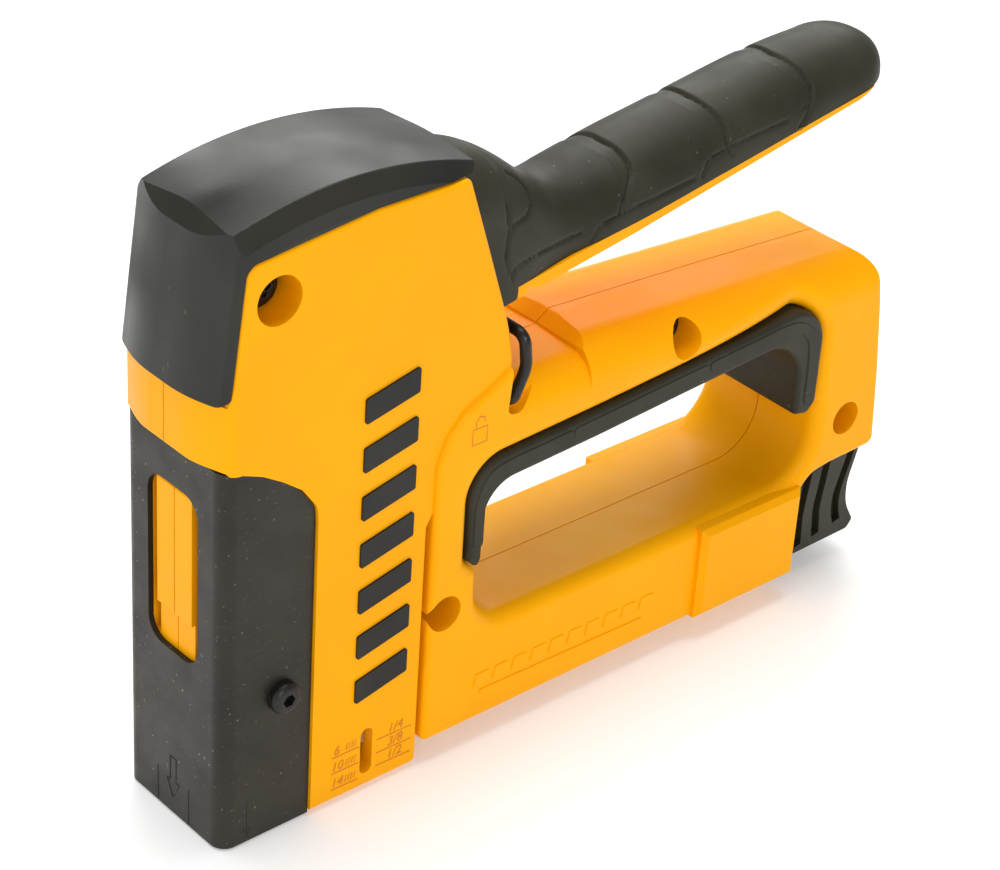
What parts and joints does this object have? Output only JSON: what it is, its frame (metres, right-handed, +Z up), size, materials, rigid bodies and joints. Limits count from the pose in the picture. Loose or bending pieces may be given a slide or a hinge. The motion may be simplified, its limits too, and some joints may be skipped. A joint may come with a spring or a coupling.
{
  "type": "staple gun",
  "caption": "Heavy-duty hand staple gun with squeeze lever, steel nose, hand-hole body, pull-out magazine and wire lever lock.",
  "frame": {"origin": "on the nose foot, at mid-width in the front wall of the steel nose plate, where the tool meets the work", "axes": "+X back along the tool to the lever's end, +Y to the user's right, +Z up away from the work"},
  "size_m": [0.1889, 0.0408, 0.1416],
  "materials": {
    "housing": "satin yellow moulded plastic with a fine eggshell surface",
    "lever_plastic": "satin yellow moulded plastic",
    "black_rubber": "matte warm-black soft overmould",
    "bumper_rubber": "dark grey-black moulded bumper, worn to a semi-gloss on top",
    "black_steel": "blackened, lightly brushed steel with scuffs",
    "black_hardware": "black oxide steel",
    "steel": "plain machined steel",
    "spring_steel": "drawn spring wire",
    "staple_steel": "galvanised staple wire, glued strip",
    "brass_bush": "sintered bronze",
    "badge_black": "black raised bars"
  },
  "bodies": {
    "frame": {"housing_left": "housing", "housing_right": "housing", "nose_plate": "black_steel", "nose_guide": "steel", "nose_screws": "black_hardware", "housing_screws": "black_hardware", "bumper_cap": "bumper_rubber", "grip_insert": "black_rubber", "side_badge_left": "badge_black", "side_badge_right": "badge_black", "lever_pivot_pin": "steel", "spring_seat": "steel", "recoil_pad": "black_rubber", "magazine_channel": "steel"},
    "lever": {"lever_grip": "black_rubber", "lever_core": "lever_plastic", "lever_arm": "steel", "pivot_bushes": "brass_bush", "lift_pin": "steel"},
    "striker": {"striker": "steel", "driver_blade": "steel", "blade_rivets": "steel", "main_spring": "spring_steel"},
    "lock": {"lock_bail": "black_hardware"},
    "magazine": {"magazine_rail": "steel", "magazine_cap": "black_rubber", "follower_rod": "steel", "staple_strip": "staple_steel"},
    "follower": {"follower": "black_hardware", "follower_spring": "spring_steel"}
  },
  "joints": [
    {"name": "lever_squeeze", "type": "hinge", "parent": "frame", "child": "lever", "pos_m": [0.051, 0, 0.1175], "axis": [0, 1, 0], "range_deg": [0, 14], "stiffness_Nm_per_rad": 6, "springref_deg": -5.73},
    {"name": "striker_lift", "type": "slide", "parent": "frame", "child": "striker", "axis": [0, 0, 1], "range_m": [0, 0.00912], "deforming": ["main_spring"]},
    {"name": "lock_bail_swing", "type": "hinge", "parent": "frame", "child": "lock", "pos_m": [0.0696, 0, 0.0814], "axis": [0, 1, 0], "range_deg": [0, 28]},
    {"name": "magazine_slide", "type": "slide", "parent": "frame", "child": "magazine", "axis": [1, 0, 0], "range_m": [0, 0.1]},
    {"name": "follower_slide", "type": "slide", "parent": "magazine", "child": "follower", "axis": [1, 0, 0], "range_m": [0, 0.06], "stiffness_N_per_m": 60, "springref_m": -0.02, "deforming": ["follower_spring"]}
  ],
  "couplings": [
    {"joint": "striker_lift", "follows": "lever_squeeze", "m_per_rad": 0.037115}
  ]
}
